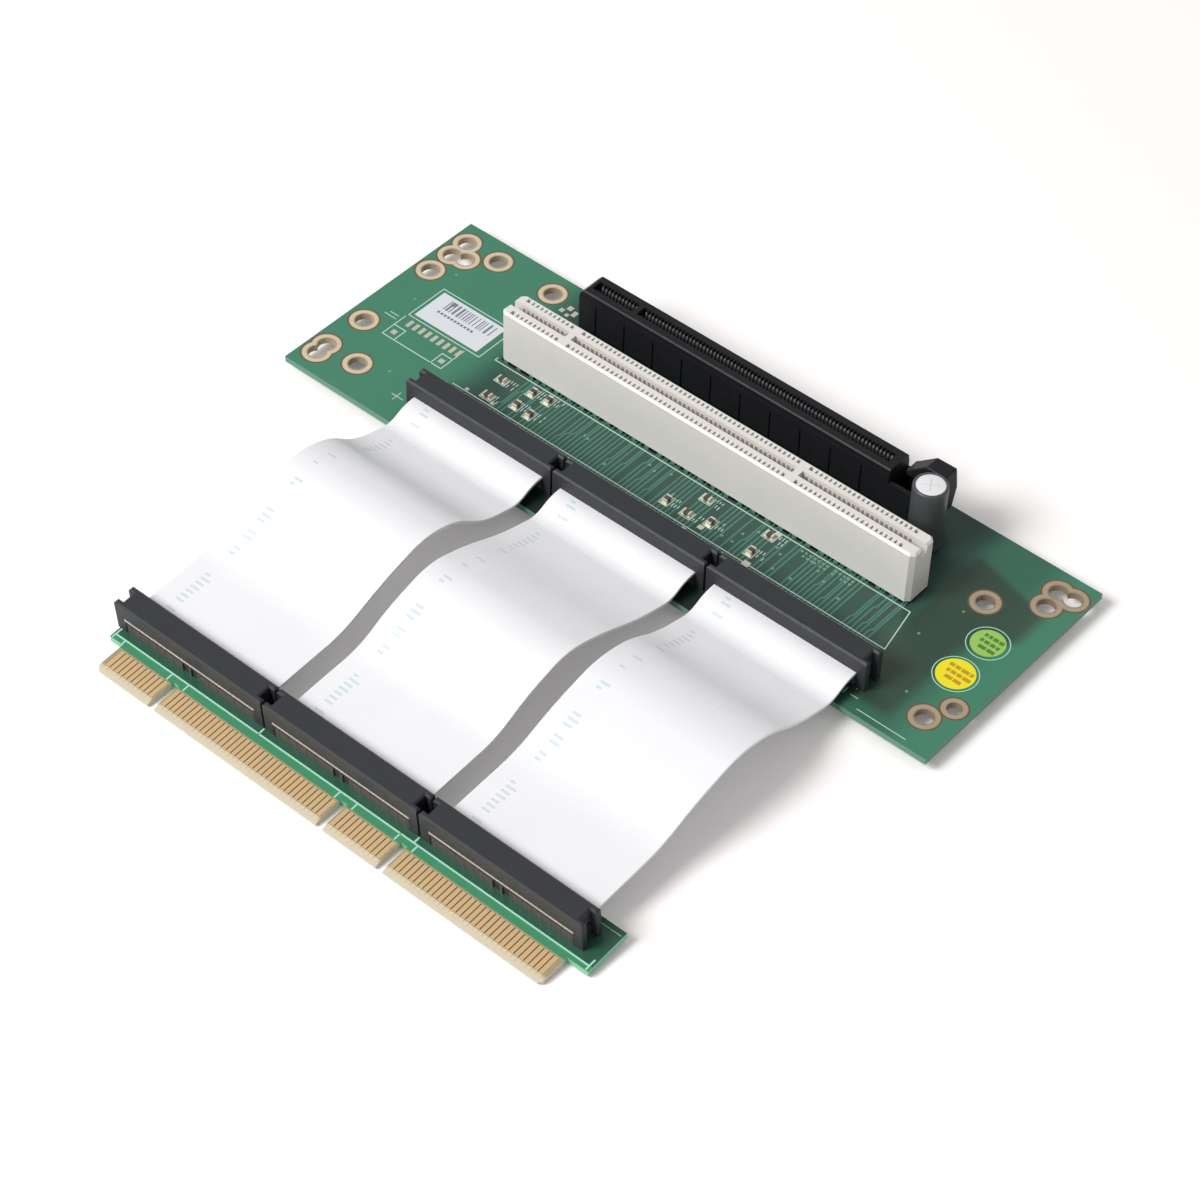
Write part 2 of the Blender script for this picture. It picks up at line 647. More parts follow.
def springRows(slot):
    # two facing rows of bent contacts, the second one mirrored about the slot's middle
    contacts = contactPlaces(slot)[0]
    middle, shapes = middleOf(slot), []
    for side in (-1, 1):
        outline = strip(slot["bend"], slot["springThick"])
        outline[:, 0] = middle + side * (slot["row"] - outline[:, 0])
        points, faces = extruded(outline, -slot["springWide"] / 2, slot["springWide"] / 2)
        if side > 0:
            faces = [group[:, ::-1] for group in faces]
        shapes.append(repeated((points, faces), contacts))
    return shapes


def ribRow(slot, low, high):
    # a rib between every two contacts, from y low to y high
    ribs, half, top = contactPlaces(slot)[1], slot["ribWide"] / 2, slot["top"]
    return boxes((ribs - half, ribs + half), (low, high),
                 (top - slot["ribDeep"], top - slot["ribDrop"]))


def pciDetails():
    # contacts in both channels, ribs between them, and contact faces on the groove's walls
    slot = pciSlot
    top, middle = slot["top"], middleOf(slot)
    springs = addPiece("pciSprings", onBoard, springRows(slot), contactBronze)
    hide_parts("pci_slot_contacts")
    contacts, half = contactPlaces(slot)[0], slot["bladeWide"] / 2
    ribs, blades = [], []
    for side in (-1, 1):
        row, reach = middle + side * slot["row"], slot["ribReach"]
        ribs.append(ribRow(slot, row - reach, row + reach))
        wall = sorted((middle + side * slot["grooveHalf"],
                       middle + side * (slot["grooveHalf"] - slot["bladeReach"])))
        blades.append(boxes((contacts - half, contacts + half), wall,
                            (top - slot["bladeFoot"], top - slot["bladeTop"])))
    addPiece("pciRibs", onBoard, ribs, whitePlastic)
    addPiece("pciBlades", onBoard, blades, contactBronze)


def pcieDetails():
    # leaning contacts in the groove, and teeth between them along both edges of its mouth
    slot = pcieSlot
    middle, mouth = middleOf(slot), slot["mouthHalf"]
    springs = addPiece("pcieSprings", onBoard, springRows(slot), darkGold)
    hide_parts("pcie_slot_contacts")
    teeth = [ribRow(slot, *sorted((middle + side * mouth,
                                   middle + side * (mouth - slot["ribReach"]))))
             for side in (-1, 1)]
    addPiece("pcieTeeth", onBoard, teeth, blackPlastic)


# Ribbons: the route's corners are (y, z) from the board's corner, in millimetres

ribbonRoute = {
    "thick": 0.68,
    "groove": 0.022,
    "conductors": 30,
    "start": [(12.0, 3.94), (3.4, 3.94), (-1.8, 1.45), (-13.0, 4.3)],
    "humps": [[(-21.5, 11.2), (-31.0, 13.4), (-43.5, 9.9)],
              [(-25.0, 9.6), (-35.5, 12.6), (-48.0, 8.9)],
              [(-22.5, 9.8), (-32.5, 11.6), (-45.5, 8.6)]],
    "low": [(-57.0, 4.1), (-67.5, 3.45)],
    "card": [(13.0, 3.94), (1.8, 3.94)],
    "cardAt": (-84.5, -1.8),
    "arcSteps": 14,
}


def unit(vector):
    # the vector over its length
    return vector / np.linalg.norm(vector)


def roundedPath(corners, steps):
    # straight runs joined by tangent arcs that take 0.45 of the shorter run on each side. an
    # arc's radius is that reach over the tangent of half its turn
    path = [corners[0]]
    for before, corner, after in zip(corners, corners[1:], corners[2:]):
        into, away = unit(corner - before), unit(after - corner)
        reach = 0.45 * min(np.linalg.norm(corner - before), np.linalg.norm(after - corner))
        start = corner - into * reach
        turn = math.atan2(into[0] * away[1] - into[1] * away[0], into @ away)
        radius = reach / math.tan(abs(turn) / 2)
        side = math.copysign(1.0, turn) * np.array([-into[1], into[0]])
        centre = start + side * radius
        angle = turn * np.linspace(0, 1, steps)
        y, z = start - centre
        path += list(centre + np.column_stack([y * np.cos(angle) - z * np.sin(angle),
                                               y * np.sin(angle) + z * np.cos(angle)]))
    path.append(corners[-1])
    return np.array(path)


def cardSidePoint(y, z):
    # a (y, z) on the card, turned by its tilt, as a (y, z) from the main board's corner
    c, s = math.cos(cardShape["tilt"]), math.sin(cardShape["tilt"])
    y0, z0 = ribbonRoute["cardAt"]
    return (y0 + y * c - z * s, z0 + y * s + z * c)


def ribbonSection():
    # (x, height) corners round a band whose two faces are lightly grooved between conductors
    count = ribbonRoute["conductors"] * 6
    x = np.linspace(0, ribbonRow["width"], count + 1)
    wave = np.abs(np.sin(np.pi * ribbonRoute["conductors"] * x / ribbonRow["width"]))
    half = ribbonRoute["thick"] / 2 - ribbonRoute["groove"] * (1 - wave)
    return np.concatenate([np.column_stack([x, -half]), np.column_stack([x, half])[::-1]])


def ribbonCable(number):
    # the section carried along the route, square to it at every step
    route = ribbonRoute
    corners = (route["start"] + route["humps"][number - 1] + route["low"]
               + [cardSidePoint(*point) for point in route["card"]])
    path = roundedPath(np.array(corners, float), route["arcSteps"])
    along = directions(path)
    across = np.column_stack([-along[:, 1], along[:, 0]])
    section = ribbonSection()
    rings = np.empty((len(path), len(section), 3))
    left = ribbonRow["left"] + (number - 1) * ribbonRow["pitch"]
    rings[:, :, 0] = left + section[None, :, 0]
    rings[:, :, 1:] = path[:, None] + across[:, None] * section[None, :, 1:]
    cable = addPiece(f"ribbon{number}", onBoard, [bands(rings)], ribbonWhite, smooth=True)
    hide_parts(f"ribbon_cable_{number}")


# Print, traces and joints on the two boards

boardPrint = {
    "height": 0.03,
    "lines": [(34.5, 18.9, 157.5, 18.9), (36.4, 31.1, 155.0, 31.1), (155.0, 31.1, 157.5, 18.9),
              (36.4, 31.1, 36.4, 32.0),
              (11.2, 29.3, 33.0, 29.3), (33.0, 29.3, 33.0, 41.3), (33.0, 41.3, 11.2, 41.3),
              (11.2, 41.3, 11.2, 29.3), (11.0, 20.6, 29.2, 20.6), (29.2, 20.6, 29.2, 28.4),
              (11.0, 20.6, 11.0, 24.6), (11.0, 24.6, 14.6, 24.6), (14.6, 24.6, 14.6, 20.6),
              (26.0, 20.6, 26.0, 24.6), (26.0, 24.6, 29.2, 24.6), (11.0, 24.6, 11.0, 28.4)],
    "lineWide": 0.26,
    "fineLines": [(36.0, 18.1, 156.5, 18.1), (30.6, 12.6, 30.6, 17.6), (30.6, 17.6, 33.2, 18.1),
                  (6.6, 26.2, 10.0, 26.2), (7.4, 27.3, 9.8, 27.3), (26.6, 7.2, 29.9, 7.2),
                  (28.0, 5.9, 28.0, 8.6), (41.2, 51.9, 141.2, 51.9), (163.5, 1.6, 176.0, 1.6),
                  (158.4, 3.4, 158.4, 5.2), (160.0, 4.0, 161.8, 4.0), (160.0, 6.0, 160.0, 8.0)],
    "fineWide": 0.2,
    "chips": [(42.2, 27.0, 0), (43.2, 21.0, 0), (50.2, 28.5, 1), (54.6, 28.9, 1), (50.2, 23.0, 1),
              (54.4, 22.6, 1), (94.8, 22.4, 1), (100.8, 22.1, 0), (106.4, 23.4, 1),
              (101.2, 28.5, 0), (118.5, 22.4, 1), (118.6, 28.9, 0)],
    "chipLong": 2.0, "chipShort": 1.25, "chipTop": 0.9, "capLong": 0.42, "capSkin": 0.04,
    "landThick": 0.05, "landAlong": 0.45, "landAcross": 0.2,
    "frameGap": 0.55, "marksFrom": (0.6, 0.2), "markStep": 0.75, "markRow": 1.5,
    "strokesFrom": (36.5, 15.0), "strokesTo": 158, "strokeSteps": [0.8, 0.8, 1.1, 3.6],
    "strokeRows": [0.0, 1.3], "strokeTall": (0.5, 1.1),
    "stickerRing": 0.11,
    "pads": [(13.6 + 1.9 * i, 27.1, 0.5, 1.15) for i in range(9)]
            + [(12.8, 22.6, 0.7, 0.7), (27.6, 22.6, 0.7, 0.7), (37.6, 55.9, 0.7, 0.7),
               (39.6, 55.0, 0.6, 0.9), (36.4, 54.2, 0.6, 0.6), (38.4, 53.6, 0.5, 0.5),
               (119.9, 18.6, 0.9, 1.1), (119.6, 30.2, 0.8, 0.7), (105.6, 20.9, 0.7, 0.6),
               (103.0, 18.0, 0.5, 0.5), (38.2, 19.6, 0.5, 0.4), (45.6, 19.8, 0.5, 0.4)],
}


stickers = {
    # x, y, radius of the printed ring, reach of the marks
    "yellow": (172.9, 23.2, 5.0, 3.8),
    "green": (172.8, 34.8, 4.75, 3.5),
}


def boardSilk():
    # lines, a frame round each chip, and strokes that stand for the print, in two rows
    silk = boardPrint
    high = silk["height"]
    x, y, lengthwise = np.array(silk["chips"], float).T
    long, short, gap = silk["chipLong"], silk["chipShort"], silk["frameGap"]
    halfX = np.where(lengthwise > 0, short, long) / 2 + gap
    halfY = np.where(lengthwise > 0, long, short) / 2 + gap
    x0, x1, y0, y1 = x - halfX, x + halfX, y - halfY, y + halfY
    frames = np.concatenate([np.column_stack(side) for side in
                             ((x0, y0, x1, y0), (x1, y0, x1, y1),
                              (x1, y1, x0, y1), (x0, y1, x0, y0))])
    rng = np.random.default_rng(5)
    right, back = silk["marksFrom"]
    marks = np.repeat(np.column_stack([x1 + right, y1 + back]), 6, axis=0)
    marks[:, 0] += np.tile(silk["markStep"] * np.array([0, 1, 2, 0, 1, 2]), len(x))
    marks[:, 1] -= np.tile(silk["markRow"] * np.array([0, 0, 0, 1, 1, 1]), len(x))
    marks = marks[rng.random(len(marks)) > 0.25]
    tall = 0.5 + 0.5 * rng.random(len(marks))
    marks = np.column_stack([marks, marks[:, 0], marks[:, 1] - tall])
    left, front = silk["strokesFrom"]
    behind = left + np.cumsum(rng.choice(silk["strokeSteps"], 90))
    behind = behind[behind < silk["strokesTo"]]
    row = front + rng.choice(silk["strokeRows"], len(behind))
    tall = rng.uniform(*silk["strokeTall"], len(behind))
    strokes = np.column_stack([behind, row, behind, row + tall])
    fine = np.concatenate([silk["fineLines"], frames, marks, strokes])
    addPiece("boardSilk", onBoard, [lineBoxes(silk["lines"], silk["lineWide"], 0.0, high),
                                    lineBoxes(fine, silk["fineWide"], 0.0, high)], silkInk)
    half = silk["stickerRing"]
    addPiece("stickerRings", onBoard, [flatRing(radius - half, radius + half, 0.0, high, x, y, 64)
                                       for x, y, radius, _ in stickers.values()], mintInk)


traces = {
    "left": 46.4, "right": 153.6, "pitch": 1.12, "front": 12.6, "back": 33.4,
    "bend": (20.5, 28.0), "jogs": [0.0, 0.0, 0.5], "jogDeep": 0.3, "wide": 0.4, "thick": 0.014,
    "leftOut": 0.12,
}


def boardTraces():
    # parallel lines from the ribbon connectors to the white slot, some with a jog
    rng = np.random.default_rng(11)
    x = np.arange(traces["left"], traces["right"], traces["pitch"])
    x = x[(rng.random(len(x)) > traces["leftOut"])]
    jog = rng.choice(traces["jogs"], len(x))
    bend = rng.uniform(*traces["bend"], len(x))
    after = bend + np.abs(jog) + traces["jogDeep"]
    lower = np.column_stack([x, np.full(len(x), traces["front"]), x, bend])
    slant = np.column_stack([x, bend, x + jog, after])
    upper = np.column_stack([x + jog, after, x + jog, np.full(len(x), traces["back"])])
    lines = np.concatenate([lower, slant, upper])
    addPiece("boardTraces", onBoard, bothFaces(lines, traces["wide"], traces["thick"]), traceGreen)


vias = {
    "radius": 0.34, "holeShare": 0.45, "thick": 0.035,
    "gridX": (126.6, 141.5, 1.15), "gridY": (28.9, 30.0), "leftOut": 0.2,
    "loose": 24, "looseX": (47, 148), "looseY": (20.2, 29.6), "fromChips": 2.0,
    "single": [(8.5, 34.2), (9.9, 47.0), (160.1, 27.4), (163.4, 38.8), (168.2, 12.4),
               (21.2, 12.2)],
}


def boardVias():
    # a thinned grid, loose ones that keep clear of the chips, and a few single ones
    rng = np.random.default_rng(3)
    grid = np.stack(np.meshgrid(np.arange(*vias["gridX"]), vias["gridY"]), axis=2).reshape(-1, 2)
    grid = grid[rng.random(len(grid)) > vias["leftOut"]]
    loose = np.column_stack([rng.uniform(*vias["looseX"], vias["loose"]),
                             rng.uniform(*vias["looseY"], vias["loose"])])
    chips = np.array(boardPrint["chips"])[:, None, :2]
    free = np.abs(loose[None] - chips).max(axis=2).min(axis=0) > vias["fromChips"]
    x, y = np.concatenate([grid, loose[free], vias["single"]]).T
    outer, thick = vias["radius"], vias["thick"]
    inner = outer * vias["holeShare"]
    addPiece("boardVias", onBoard,
             [repeated(flatRing(inner, outer, 0.0, thick), x, y),
              repeated(flatRing(inner, outer, boardUnder - thick, boardUnder), x, y)], viaMask)


def boardPads():
    # bare tinned pads: middle x and y, half width and half depth
    x, y, wide, deep = np.array(boardPrint["pads"]).T
    addPiece("boardPads", onBoard, [boxes((x - wide, x + wide), (y - deep, y + deep),
                                         (0, boardPrint["landThick"]))], tinPlate)


tails = {"x": (38.3, 152.5, 3.81), "wide": 1.15, "y": (31.95, 32.7), "z": (0, 0.5)}


def slotTails():
    # mask-covered bridges in the gap under the white slot's front edge
    x = np.arange(*tails["x"])
    addPiece("slotTails", onBoard, [boxes((x, x + tails["wide"]), tails["y"], tails["z"])],
             traceGreen)


def chipDetails():
    # metal caps over both ends of every chip capacitor, and the lands that they stand on
    sizes = boardPrint
    x, y, lengthwise = np.array(sizes["chips"], float).T
    alongY, skin = lengthwise > 0, sizes["capSkin"]
    end, across = sizes["chipLong"] / 2, sizes["chipShort"] / 2 + skin
    moreX = np.where(alongY, sizes["landAcross"], sizes["landAlong"])
    moreY = np.where(alongY, sizes["landAlong"], sizes["landAcross"])
    caps, lands = [], []
    for side in (-1, 1):
        near, far = sorted((side * (end - sizes["capLong"]), side * (end + skin)))
        left, right = x + np.where(alongY, -across, near), x + np.where(alongY, across, far)
        front, back = y + np.where(alongY, near, -across), y + np.where(alongY, far, across)
        caps.append(boxes((left, right), (front, back), (0, sizes["chipTop"] + skin)))
        lands.append(boxes((left - moreX, right + moreX), (front - moreY, back + moreY),
                           (0, sizes["landThick"])))
    addPiece("chipCaps", onBoard, caps, tinPlate)
    addPiece("chipLands", onBoard, lands, tinPlate)


solder = {
    "cone": [(0.62, -1.6), (0.42, -1.78), (0.24, -2.05), (0.20, -2.45)],
    "lowCone": [(0.6, -1.6), (0.4, -1.72), (0.22, -1.86), (0.18, -1.96)],
    "pciRows": (2.7, 1.0), "pcieRows": (2.0, 0.9),      # from the slot's middle, and the stagger
    "boardRows": (7.9, 10.4), "cardRows": (3.4, 5.9),
    "capacitor": [(142.7, 49.9), (146.2, 49.9)],
}


def pinRows(shift, rows):
    # (x, y) of the pins of three connectors, with their x moved by shift
    pins = strips["board"][0] + strips["firstPin"] + strips["pinPitch"] * np.arange(strips["pins"])
    return [np.column_stack([pins + shift + ribbonRow["pitch"] * number, np.full(len(pins), y)])
            for number in range(ribbonRow["count"]) for y in rows]


def solderJoints():
    # small cones of solder round the leads under the slots, the connectors and the capacitor
    rows = []
    for slot, (offset, stagger) in ((pciSlot, solder["pciRows"]), (pcieSlot, solder["pcieRows"])):
        x, middle = contactPlaces(slot)[0], middleOf(slot)
        odd = np.arange(len(x)) % 2
        for side in (-1, 1):
            rows.append(np.column_stack([x, middle + side * (offset + stagger * odd)]))
    rows += pinRows(0.0, solder["boardRows"]) + [np.array(solder["capacitor"])]
    x, y = np.concatenate(rows).T
    cone = turned(solder["cone"], 0.0, 0.0, 8)
    addPiece("boardJoints", onBoard, [repeated(cone, x, y)], solderMetal, smooth=True)
    x, y = np.concatenate(pinRows(strips["card"][0] - strips["board"][0], solder["cardRows"])).T
    cone = turned(solder["lowCone"], 0.0, 0.0, 8)
    addPiece("cardJoints", onCard, [repeated(cone, x, y)], solderMetal, smooth=True)


fingers = {
    "pitch": 1.27, "counts": (11, 36, 11, 32), "key": 2,      # pitches that a key takes
    "half": 0.46, "front": -7.4, "reach": 1.05, "skin": 0.02,
    "gapFront": -7.05, "gapBack": -2.55, "gapWide": 0.25, "gapThick": 0.02,
}
cardLines = {
    "left": -4.9, "right": 126.9, "thick": 0.03, "wide": 0.4, "backWide": 0.16, "underWide": 0.3,
    "keyHalf": 2.4, "keyFront": -1.7, "gaps": (37.2, 80.6), "gapBack": 1.5,
    "ends": [(-4.9, -0.9, -4.9, 1.6), (126.9, -0.9, 126.9, 1.6), (-1.9, -1.0, -1.9, 0.0)],
    "back": (-5.0, 9.2, 127.1, 9.2),
}


def cardPrint():
    # a line along the card with ticks at the keys, the ends and between the connectors
    shape = cardLines
    sides = [middle + side * shape["keyHalf"] for middle in notchMiddles() for side in (-1, 1)]
    ticks = [(x, shape["keyFront"], x, 0.0) for x in sides]
    gaps = [(x, 0.0, x, shape["gapBack"]) for x in shape["gaps"]]
    lines = np.array([(shape["left"], 0.0, shape["right"], 0.0)] + ticks + shape["ends"] + gaps)
    thick = shape["thick"]
    addPiece("cardSilk", onCard,
             [lineBoxes(lines, shape["wide"], 0.0, thick),
              lineBoxes(shape["back"], shape["backWide"], 0.0, thick),
              lineBoxes(lines[:1], shape["underWide"], boardUnder - thick, boardUnder)], mintInk)


def notchMiddles():
    # halfway between the fingers on both sides of each key
    return [group[-1] + 1.5 * fingers["pitch"] for group in fingerGroups()[:-1]]


# Capacitor, latch, label and stickers

capacitorShape = {
    "middle": (144.45, 49.9),
    "can": [(3.55, 0.0), (3.6, 0.1), (3.6, 16.75), (3.52, 17.0), (3.36, 17.15), (3.15, 17.2),
            (0.6, 17.2)],
    "sleeve": [(3.62, 0.2), (3.95, 0.2), (4.0, 0.35), (4.0, 1.7), (3.86, 2.0), (3.86, 2.3),
               (4.0, 2.6), (4.0, 16.9), (3.93, 17.15), (3.75, 17.33), (3.5, 17.38), (3.36, 17.33),
               (3.34, 17.24), (3.42, 17.17), (3.62, 16.95)],
    "scores": [(-1.7, -1.0, 1.7, 1.0), (-1.0, 1.7, 1.0, -1.7)],
    "scoreWide": 0.12, "scoreHeights": (17.19, 17.215),
}


def capacitor():
    # two turned profiles, and the vent's crossed lines on the top
    shape, (x, y) = capacitorShape, capacitorShape["middle"]
    can = addPiece("can", onBoard, [turned(shape["can"], x, y, 64)], canMetal, smooth=True)
    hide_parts("capacitor_can")
    sleeve = addPiece("canSleeve", onBoard, [turned(shape["sleeve"], x, y, 64, loop=True)],
                      sleeveFilm, smooth=True)
    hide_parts("capacitor_sleeve")
    scores = np.array(shape["scores"]) + (x, y, x, y)
    addPiece("canScore", onBoard, [lineBoxes(scores, shape["scoreWide"], *shape["scoreHeights"])],
             scoreMetal)


latchShape = {
    "pivot": (138.5, 3.1), "middle": 56.35, "width": 4.2, "bevel": 0.35,
    "outline": [(-1.5, 1.3), (-2.0, 0.0), (-1.4, -1.4), (0.0, -2.0), (1.9, -1.8), (6.7, 2.0),
                (7.4, 8.4), (6.8, 13.5), (1.6, 13.4), (-2.9, 9.6), (-3.7, 9.1), (-3.3, 8.0),
                (1.0, 8.4), (1.5, 5.2)],
    "bevelSteps": 3, "bevelAngle": math.radians(20), "trunnionHalf": 3.55, "trunnionSides": 24,
}


def latch():
    # the lever's outline between its two faces, and the trunnion through its pivot
    shape = latchShape
    px, pz = shape["pivot"]
    outline = np.array(shape["outline"])
    half, middle = shape["width"] / 2, shape["middle"]
    turn = np.arange(shape["trunnionSides"]) * 2 * math.pi / shape["trunnionSides"]
    circle = np.column_stack([np.cos(turn), np.sin(turn)])
    made = []
    for name, line, reach in (("latchLever", outline, half),
                              ("latchTrunnion", circle, shape["trunnionHalf"])):
        rings = np.stack([np.column_stack([px + line[:, 0], np.full(len(line), y),
                                           pz + line[:, 1]])
                          for y in (middle - reach, middle + reach)])
        made.append(addPiece(name, onBoard, [bands(rings)], blackPlastic, body="latch"))
    bevel = made[0].modifiers.new("edges", "BEVEL")
    bevel.width = shape["bevel"] * mm
    bevel.segments = shape["bevelSteps"]
    bevel.limit_method = "ANGLE"
    bevel.angle_limit = shape["bevelAngle"]
    for piece in made:
        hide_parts("slot_latch")


paperPrint = {
    "heights": (0.1, 0.115),          # of all marks on paper, from the board's top
    "barsFrom": 15.2, "barsTo": 29.6, "barSteps": [0.28, 0.36, 0.5, 0.75], "barFill": 0.8,
    "barY": (35.9, 39.4),
    "dashX": (15.4, 26.6, 1.02), "dashLong": 0.66, "dashY": (34.2, 34.9),
    "block": ((16.2, 17.5), (38.1, 39.4), (0.1, 0.118)),
    "rows": (-1.75, 0.0, 1.75), "rowSteps": [1.1, 1.5, 2.2], "rowGap": 0.3, "rowHalf": 0.5,
}


def labelBars():
    # bars of mixed width on the label, with a row of short dashes in front of them
    rng = np.random.default_rng(8)
    marks = paperPrint
    edges = marks["barsFrom"] + np.cumsum(rng.choice(marks["barSteps"], 44))
    starts, widths = edges[:-1:2], np.diff(edges)[::2] * marks["barFill"]
    keep = starts < marks["barsTo"]
    starts, widths = starts[keep], widths[keep]
    dashes = np.arange(*marks["dashX"])
    addPiece("labelBars", onBoard,
             [boxes((starts, starts + widths), marks["barY"], marks["heights"]),
              boxes((dashes, dashes + marks["dashLong"]), marks["dashY"], marks["heights"]),
              boxes(*marks["block"])], labelInk)


def stickerMarks():
    # rows of short bars in a darker shade of each sticker
    rng = np.random.default_rng(4)
    marks, half = paperPrint, paperPrint["rowHalf"]
    for name, ink in (("yellow", yellowInk), ("green", greenInk)):
        x, y, _, reach = stickers[name]
        shapes = []
        for row in marks["rows"]:
            starts = np.cumsum(rng.choice(marks["rowSteps"], 9))
            starts = np.concatenate([[0.0], starts]) - reach
            starts, ends = starts[:-1], starts[1:] - marks["rowGap"]
            keep = np.maximum(np.hypot(starts, row), np.hypot(ends, row)) < reach
            shapes.append(boxes((x + starts[keep], x + ends[keep]),
                                (y + row - half, y + row + half), marks["heights"]))
        addPiece(name + "Marks", onBoard, shapes, ink)


strips = {
    # left end and front of the first connector on each board
    "board": (32.0, 6.3), "card": (-5.9, 1.8),
    "length": 42.8, "end": 2.6, "base": 3.6, "flange": 0.7, "recess": 0.5, "key": 1.1,
    "pins": 15, "pinPitch": 2.54, "pinWide": 0.6, "firstPin": 3.62, "face": 0.2, "play": 0.01,
    "wirePitch": 1.27, "wireHalf": 0.2, "wires": 30,
    "sheetOut": 0.015, "sheetHeights": (3.62, 4.26), "wireOut": (0.03, 0.012),
    "wireHeights": (3.78, 4.1),
}


def combPanels(host, place):
    # moulded ribs that fill the recess between the pins, leaving the keyway open
    x0, front = strips[host]
    middle = x0 + strips["length"] / 2
    pins = middle + strips["pinPitch"] * (np.arange(strips["pins"]) - (strips["pins"] - 1) / 2)
    edges = np.sort(np.concatenate([pins - strips["pinWide"] / 2, pins + strips["pinWide"] / 2,
                                    [x0 + strips["end"], x0 + strips["length"] - strips["end"]]]))
    starts, ends = edges[::2] + strips["play"], edges[1::2] - strips["play"]
    clear = (ends < middle - strips["key"] / 2) | (starts > middle + strips["key"] / 2)
    starts, ends = starts[clear], ends[clear]
    shifts = [ribbonRow["pitch"] * number for number in range(ribbonRow["count"])]
    addPiece(host + "Combs", place,
             [boxes((starts + shift, ends + shift),
                    (front + strips["face"], front + strips["recess"]),
                    (0, strips["base"] - strips["flange"])) for shift in shifts], combPlastic)


def ribbonEnds():
    # the cut ends of the ribbons, flush in the front of the card's connectors
    x0, front = strips["card"]
    width, pitch = ribbonRow["width"], ribbonRow["pitch"]
    left = x0 + (strips["length"] - width) / 2
    wires = left + strips["wirePitch"] / 2 + strips["wirePitch"] * np.arange(strips["wires"])
    n = np.arange(ribbonRow["count"])
    addPiece("ribbonEnds", onCard, [boxes((left + pitch * n, left + width + pitch * n),
                                          (front - strips["sheetOut"], front),
                                          strips["sheetHeights"])], wireEnds)
    half, (out, inner) = strips["wireHalf"], strips["wireOut"]
    addPiece("wireDots", onCard, [boxes((wires - half + pitch * i, wires + half + pitch * i),
                                        (front - out, front - inner), strips["wireHeights"])
                                  for i in n], tinPlate)


def fingerGroups():
    # the fingers' middles, one array for each stretch between two keys
    groups, last = [], 0.0
    for count in fingers["counts"]:
        groups.append(last + fingers["pitch"] * np.arange(count))
        last += (count + fingers["key"]) * fingers["pitch"]
    return groups


def fingerGaps():
    # the darker bare laminate between the fingers, on both faces and no higher than the plating
    x = np.concatenate([group[:-1] + fingers["pitch"] / 2 for group in fingerGroups()])
    lines = np.column_stack([x, x * 0 + fingers["gapFront"], x, x * 0 + fingers["gapBack"]])
    addPiece("fingerGaps", onCard, bothFaces(lines, fingers["gapWide"], fingers["gapThick"]),
             laminateShade)


def fingerTips():
    # the plating's thin run-out over the upper and lower bevel of the tongue
    x = np.concatenate(fingerGroups())
    slope = (1.6 - 0.5) / 2 / 1.6         # the bevel takes the tip from 1.6 to 0.5 mm in 1.6 mm
    front, reach, skin, half = (fingers[key] for key in ("front", "reach", "skin", "half"))
    section = np.array([(front, 0.0), (front, skin), (front - reach, skin - reach * slope),
                        (front - reach, -reach * slope)])
    mirrored = np.column_stack([section[:, 0], boardUnder - section[:, 1]])[::-1]
    addPiece("fingerTips", onCard, [repeated(extruded(outline, -half, half), x)
                                    for outline in (section, mirrored)], palePlate)


pciDetails()
pcieDetails()
combPanels("board", onBoard)
combPanels("card", onCard)
ribbonEnds()
fingerTips()
fingerGaps()
for number in (1, 2, 3):
    ribbonCable(number)
print("slots and ribbons made")
boardSilk()
boardTraces()
boardVias()
boardPads()
slotTails()
chipDetails()
solderJoints()
cardPrint()
print("print and joints made")
capacitor()
latch()
labelBars()
stickerMarks()
print("small parts made")


# Floor, light and camera

stageSetup = {
    "floorSize": 3.0,
    "floorColour": (0.87, 0.845, 0.835),
    "floorGlow": 0.13,         # seen by the camera only, so that the floor reads white
    "keyPower": 40.0,
    "keyPlace": (-0.64, -1.28, 1.44),
    "keySize": 0.80,
    "worldLevel": 0.45,
}


def whiteFloor():
    # a plain square under the part that glows a little towards the camera
    size = stageSetup["floorSize"]
    z = cadBounds[0][2]
    mesh = bpy.data.meshes.new("floor")
    mesh.from_pydata([(-size, -size, z), (size, -size, z), (size, size, z), (-size, size, z)],
                     [], [(0, 1, 2, 3)])
    floor = bpy.data.objects.new("floor", mesh)
    bpy.context.scene.collection.objects.link(floor)
    finish = Finish("floorPaint", stageSetup["floorColour"], 0.9, Specular_IOR_Level=0.0)
    seen = finish.node("ShaderNodeLightPath", {}, {}, "Is Camera Ray")
    glow = (stageSetup["floorGlow"],) * 3
    finish.feed("Emission Color", finish.mix(seen, (0.0, 0.0, 0.0), glow))
    finish.shader.inputs["Emission Strength"].default_value = 1.0
    mesh.materials.append(finish.data)


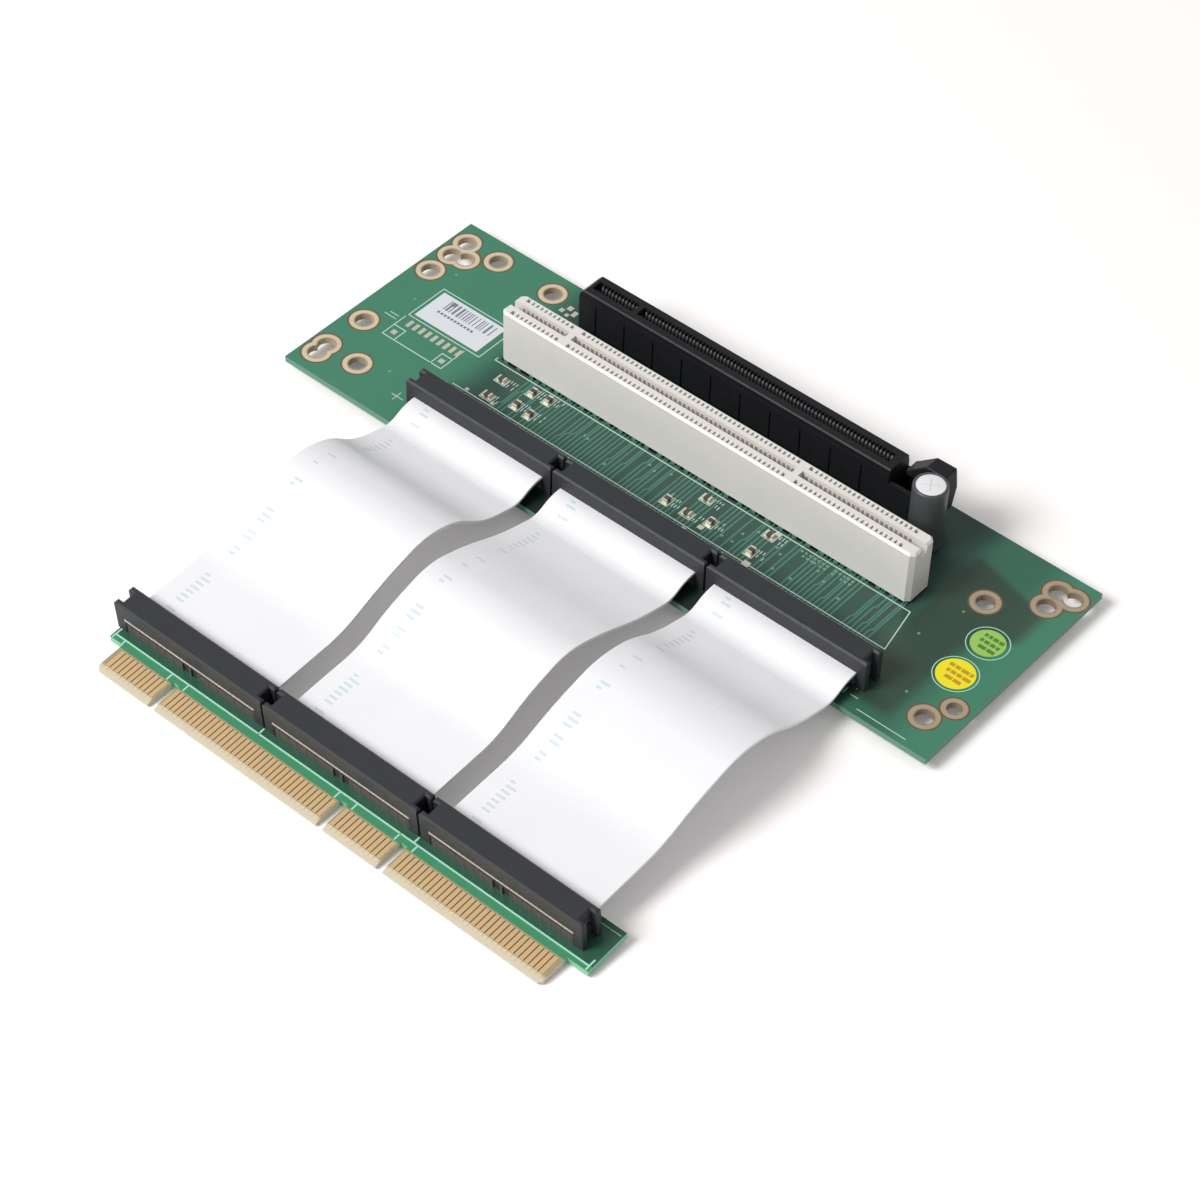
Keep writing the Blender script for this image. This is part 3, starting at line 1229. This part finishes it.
def studioLight():
    # a white world, dimmer to all rays but camera and transmission rays, and one soft lamp
    world = bpy.data.worlds.new("studio")
    bpy.context.scene.world = world
    world.use_nodes = True
    nodes, links = world.node_tree.nodes, world.node_tree.links
    light = nodes.new("ShaderNodeLightPath")
    direct = nodes.new("ShaderNodeMath")
    direct.operation = "MAXIMUM"
    links.new(light.outputs["Is Camera Ray"], direct.inputs[0])
    links.new(light.outputs["Is Transmission Ray"], direct.inputs[1])
    level = nodes.new("ShaderNodeMapRange")
    level.inputs["To Min"].default_value = stageSetup["worldLevel"]
    level.inputs["To Max"].default_value = 1.0
    links.new(direct.outputs[0], level.inputs["Value"])
    links.new(level.outputs[0], nodes["Background"].inputs["Strength"])
    nodes["Background"].inputs["Color"].default_value = (1, 1, 1, 1)
    lamp = bpy.data.lights.new("key", "AREA")
    lamp.energy = stageSetup["keyPower"]
    lamp.size = stageSetup["keySize"]
    key = bpy.data.objects.new("key", lamp)
    key.location = stageSetup["keyPlace"]
    key.rotation_euler = (-Vector(stageSetup["keyPlace"])).to_track_quat("-Z", "Y").to_euler()
    bpy.context.scene.collection.objects.link(key)


cameraSetup = {
    "lens": 101.13,
    "sensor": 36.0,
    "turn": math.radians(39.448),       # about Z, from looking along +Y
    "rise": math.radians(46.331),
    "roll": math.radians(1.778),
    "distance": 0.7173,
    "target": (103.57, -10.27, 0.0),    # millimetres from the board's corner
}


def placeCamera():
    # back points from the target to the camera, right and up span the picture
    turn, rise, roll = (cameraSetup[key] for key in ("turn", "rise", "roll"))
    back = Vector((math.sin(turn) * math.cos(rise), -math.cos(turn) * math.cos(rise),
                   math.sin(rise)))
    level = Vector((math.cos(turn), math.sin(turn), 0))
    upright = back.cross(level)
    right = math.cos(roll) * level + math.sin(roll) * upright
    up = math.cos(roll) * upright - math.sin(roll) * level
    target = Vector(onBoard([cameraSetup["target"]])[0])
    data = bpy.data.cameras.new("camera")
    data.lens = cameraSetup["lens"]
    data.sensor_width = cameraSetup["sensor"]
    data.clip_start = 0.01
    camera = bpy.data.objects.new("camera", data)
    matrix = Matrix((right, up, back)).transposed().to_4x4()
    matrix.translation = target + back * cameraSetup["distance"]
    camera.matrix_world = matrix
    bpy.context.scene.collection.objects.link(camera)
    bpy.context.scene.camera = camera


whiteFloor()
studioLight()
placeCamera()
bpy.context.scene.view_settings.view_transform = "Standard"
print("stage set")
